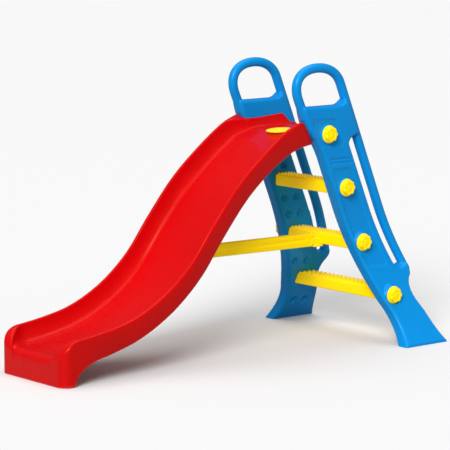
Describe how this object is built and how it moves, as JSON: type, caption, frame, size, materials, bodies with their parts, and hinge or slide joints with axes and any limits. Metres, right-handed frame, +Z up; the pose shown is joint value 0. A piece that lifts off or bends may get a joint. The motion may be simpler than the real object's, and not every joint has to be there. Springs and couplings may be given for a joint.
{
  "type": "toddler slide",
  "caption": "Freestanding plastic toddler slide: waved chute between two hollow side panels with handles, ribbed ladder steps, clip-on strut and hand knobs.",
  "frame": {"origin": "on the floor under the middle of the bounding box", "axes": "+Z up, -X towards the slide's exit, +X towards the ladder, +Y towards the right hand of a child sliding down"},
  "size_m": [1.59, 0.7984, 1.0394],
  "materials": {
    "red_chute": "satin-gloss moulded polyethylene",
    "blue_panel": "satin blow-moulded polyethylene",
    "yellow_strut": "satin blow-moulded polyethylene",
    "yellow_cap": "satin injection-moulded polyethylene",
    "yellow_knob": "satin injection-moulded polypropylene",
    "yellow_step": "satin moulded polyethylene with raised grip ribs",
    "white_nut": "moulded nylon nut",
    "yellow_pin": "moulded nylon pin"
  },
  "bodies": {
    "frame": {"slide_chute": "red_chute", "side_panel_left": "blue_panel", "side_panel_right": "blue_panel", "step_upper": "yellow_step", "step_middle": "yellow_step", "step_lower": "yellow_step", "strut_pin": "yellow_pin", "platform_cap": "yellow_cap", "cap_nut": "white_nut"},
    "strut": {"support_strut": "yellow_strut"},
    "knob_left_top": {"knob_left_top": "yellow_knob"},
    "knob_left_upper": {"knob_left_upper": "yellow_knob"},
    "knob_left_middle": {"knob_left_middle": "yellow_knob"},
    "knob_left_lower": {"knob_left_lower": "yellow_knob"},
    "knob_right_top": {"knob_right_top": "yellow_knob"},
    "knob_right_upper": {"knob_right_upper": "yellow_knob"},
    "knob_right_middle": {"knob_right_middle": "yellow_knob"},
    "knob_right_lower": {"knob_right_lower": "yellow_knob"}
  },
  "joints": [
    {"name": "strut_swing", "type": "hinge", "parent": "frame", "child": "strut", "pos_m": [-0.112, 0, 0.368], "axis": [0, 1, 0], "range_deg": [0, 30]},
    {"name": "knob_left_top_turn", "type": "hinge", "parent": "frame", "child": "knob_left_top", "pos_m": [0.376, -0.2075, 0.783], "axis": [0, -1, 0], "range_deg": [0, 720]},
    {"name": "knob_left_upper_turn", "type": "hinge", "parent": "frame", "child": "knob_left_upper", "pos_m": [0.463, -0.2075, 0.582], "axis": [0, -1, 0], "range_deg": [0, 720]},
    {"name": "knob_left_middle_turn", "type": "hinge", "parent": "frame", "child": "knob_left_middle", "pos_m": [0.534, -0.2218, 0.376], "axis": [0, -1, 0], "range_deg": [0, 720]},
    {"name": "knob_left_lower_turn", "type": "hinge", "parent": "frame", "child": "knob_left_lower", "pos_m": [0.621, -0.2934, 0.18], "axis": [0, -1, 0], "range_deg": [0, 720]},
    {"name": "knob_right_top_turn", "type": "hinge", "parent": "frame", "child": "knob_right_top", "pos_m": [0.376, 0.2075, 0.783], "axis": [0, 1, 0], "range_deg": [0, 720]},
    {"name": "knob_right_upper_turn", "type": "hinge", "parent": "frame", "child": "knob_right_upper", "pos_m": [0.463, 0.2075, 0.582], "axis": [0, 1, 0], "range_deg": [0, 720]},
    {"name": "knob_right_middle_turn", "type": "hinge", "parent": "frame", "child": "knob_right_middle", "pos_m": [0.534, 0.2218, 0.376], "axis": [0, 1, 0], "range_deg": [0, 720]},
    {"name": "knob_right_lower_turn", "type": "hinge", "parent": "frame", "child": "knob_right_lower", "pos_m": [0.621, 0.2934, 0.18], "axis": [0, 1, 0], "range_deg": [0, 720]}
  ]
}
